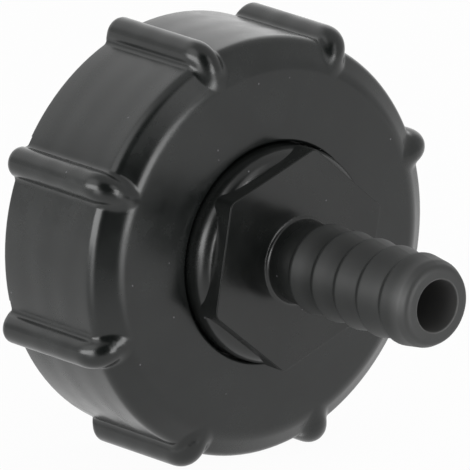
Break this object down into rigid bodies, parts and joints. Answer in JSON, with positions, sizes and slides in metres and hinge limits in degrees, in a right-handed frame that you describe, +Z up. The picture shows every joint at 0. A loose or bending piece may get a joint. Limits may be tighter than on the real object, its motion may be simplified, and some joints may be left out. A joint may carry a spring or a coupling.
{
  "type": "ibc tap adapter",
  "caption": "Ribbed union nut with a coarse internal tank thread, holding a swivelling hexagon-shouldered hose tail and its sealing ring.",
  "frame": {"origin": "centre of the plain wall in the nut's threaded mouth, halfway along it", "axes": "+X along the common axis from the threaded mouth to the hose tail; +Z up when the adapter lies on two of its ribs"},
  "size_m": [0.0654, 0.0716, 0.0716],
  "materials": {
    "nut_plastic": "black moulded polypropylene, satin",
    "tail_plastic": "black moulded polypropylene, satin",
    "gasket_rubber": "black sealing rubber, dull"
  },
  "bodies": {
    "nut": {"union_nut": "nut_plastic"},
    "tail": {"hose_tail": "tail_plastic", "gasket": "gasket_rubber"}
  },
  "joints": [
    {"name": "nut_swivel", "type": "hinge", "parent": "nut", "child": "tail", "pos_m": [0, 0, 0], "axis": [1, 0, 0], "continuous": true}
  ]
}
